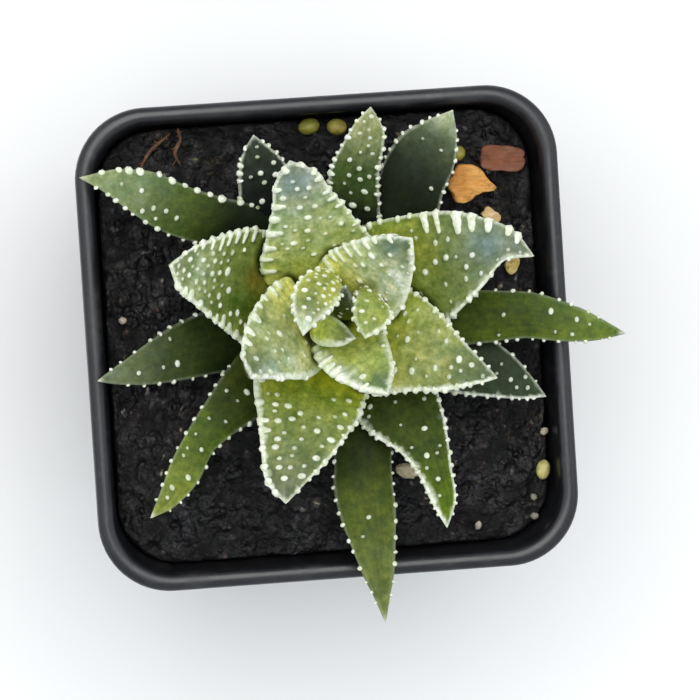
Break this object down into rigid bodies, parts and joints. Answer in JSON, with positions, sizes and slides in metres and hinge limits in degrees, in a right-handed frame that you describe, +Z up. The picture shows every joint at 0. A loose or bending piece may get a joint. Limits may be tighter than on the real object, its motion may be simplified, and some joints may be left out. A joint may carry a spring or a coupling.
{
  "type": "potted haworthia",
  "caption": "Small spotted haworthia rosette with pale raised dots, rooted in dark compost in a square black nursery pot with a rolled rim.",
  "frame": {"origin": "centre of the pot's base, on the plane that it stands on", "axes": "+Z up out of the pot; +X and +Y along the pot's sides"},
  "size_m": [0.067, 0.0659, 0.0802],
  "materials": {
    "black_plastic": "thin black moulded polypropylene, satin, lightly scuffed and dusty",
    "compost": "damp dark peat compost with bark fines, rough",
    "stem_and_root": "pale fleshy stem and roots, matt",
    "leaf_outer": "fleshy dark green leaf skin, satin wax, white raised tubercles along the margins",
    "leaf_middle": "fleshy green leaf skin, grey-blue wax towards the tip, white raised tubercles",
    "leaf_inner": "fleshy yellow-green young leaf skin, white raised tubercles and white margins",
    "bark": "broken bark chip, orange tan to pinkish brown, fibrous",
    "fertiliser": "yellow resin coated fertiliser prill, dull gloss",
    "perlite": "white expanded perlite, porous, matt",
    "fibre": "brown plant fibre, matt"
  },
  "bodies": {
    "root": {"pot": "black_plastic", "soil": "compost", "stem_with_roots": "stem_and_root", "leaf_01": "leaf_outer", "leaf_02": "leaf_outer", "leaf_03": "leaf_outer", "leaf_04": "leaf_outer", "leaf_05": "leaf_outer", "leaf_06": "leaf_outer", "leaf_07": "leaf_outer", "leaf_08": "leaf_outer", "leaf_09": "leaf_outer", "leaf_10": "leaf_outer", "leaf_11": "leaf_middle", "leaf_12": "leaf_middle", "leaf_13": "leaf_middle", "leaf_14": "leaf_middle", "leaf_15": "leaf_middle", "leaf_16": "leaf_inner", "leaf_17": "leaf_inner", "leaf_18": "leaf_inner", "leaf_19": "leaf_inner", "leaf_20": "leaf_inner", "leaf_21": "leaf_inner", "leaf_22": "leaf_inner", "bark_chip_01": "bark", "bark_chip_02": "bark", "bark_chip_03": "bark", "bark_chip_04": "bark", "prill_01": "fertiliser", "prill_02": "fertiliser", "prill_03": "fertiliser", "prill_04": "fertiliser", "perlite_01": "perlite", "perlite_02": "perlite", "perlite_03": "perlite", "perlite_04": "perlite", "perlite_05": "perlite", "perlite_06": "perlite", "fibre_01": "fibre", "fibre_02": "fibre"}
  },
  "joints": []
}
